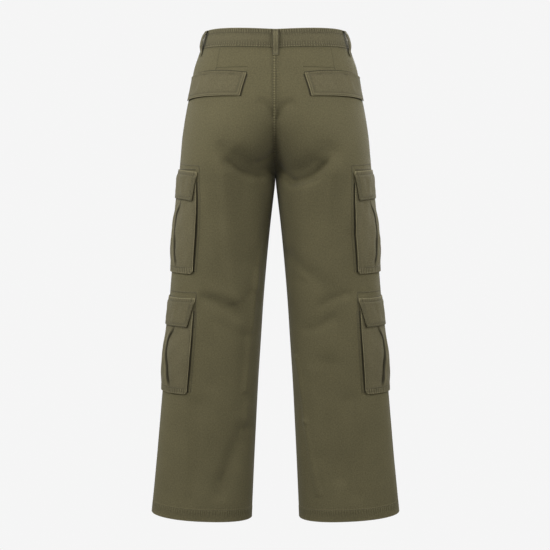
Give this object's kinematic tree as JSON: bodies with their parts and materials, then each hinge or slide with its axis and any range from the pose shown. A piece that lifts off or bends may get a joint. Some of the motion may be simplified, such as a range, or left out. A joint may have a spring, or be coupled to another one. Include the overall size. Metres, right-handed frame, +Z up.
{
  "type": "cargo trousers",
  "caption": "Wide straight-leg cargo trousers in olive cotton twill, standing open as worn, with bellows pockets and flaps on the legs, flapped back pockets and belt loops.",
  "frame": {"origin": "centre of the waist opening, inside the waistband a little above its middle, where the wearer's waist holds the trousers", "axes": "+Z up along the body, +Y to the wearer's back, +X to the wearer's left"},
  "size_m": [0.5508, 0.2634, 1.0717],
  "materials": {
    "twill": "matte heavy cotton twill, olive green, soft handle",
    "twill_pockets": "the same twill, doubled and edge-stitched on pockets and flaps",
    "twill_waistband": "the same twill, folded double with puckered stitching",
    "button_resin": "dark olive resin, satin"
  },
  "bodies": {
    "root": {"back_panel_left": "twill", "back_panel_right": "twill", "front_panel_left": "twill", "front_panel_right": "twill", "front_pocket_edge_left": "twill", "front_pocket_edge_right": "twill", "back_flap_left": "twill_pockets", "back_flap_right": "twill_pockets", "cargo_pocket_upper_left": "twill_pockets", "cargo_flap_upper_left": "twill_pockets", "cargo_pocket_upper_right": "twill_pockets", "cargo_flap_upper_right": "twill_pockets", "cargo_pocket_lower_left": "twill_pockets", "cargo_flap_lower_left": "twill_pockets", "cargo_pocket_lower_right": "twill_pockets", "cargo_flap_lower_right": "twill_pockets", "waistband": "twill_waistband", "belt_loop_back": "twill_waistband", "belt_loop_side_left": "twill_waistband", "belt_loop_side_right": "twill_waistband", "belt_loop_front_left": "twill_waistband", "belt_loop_front_right": "twill_waistband", "waist_button": "button_resin"}
  },
  "joints": []
}
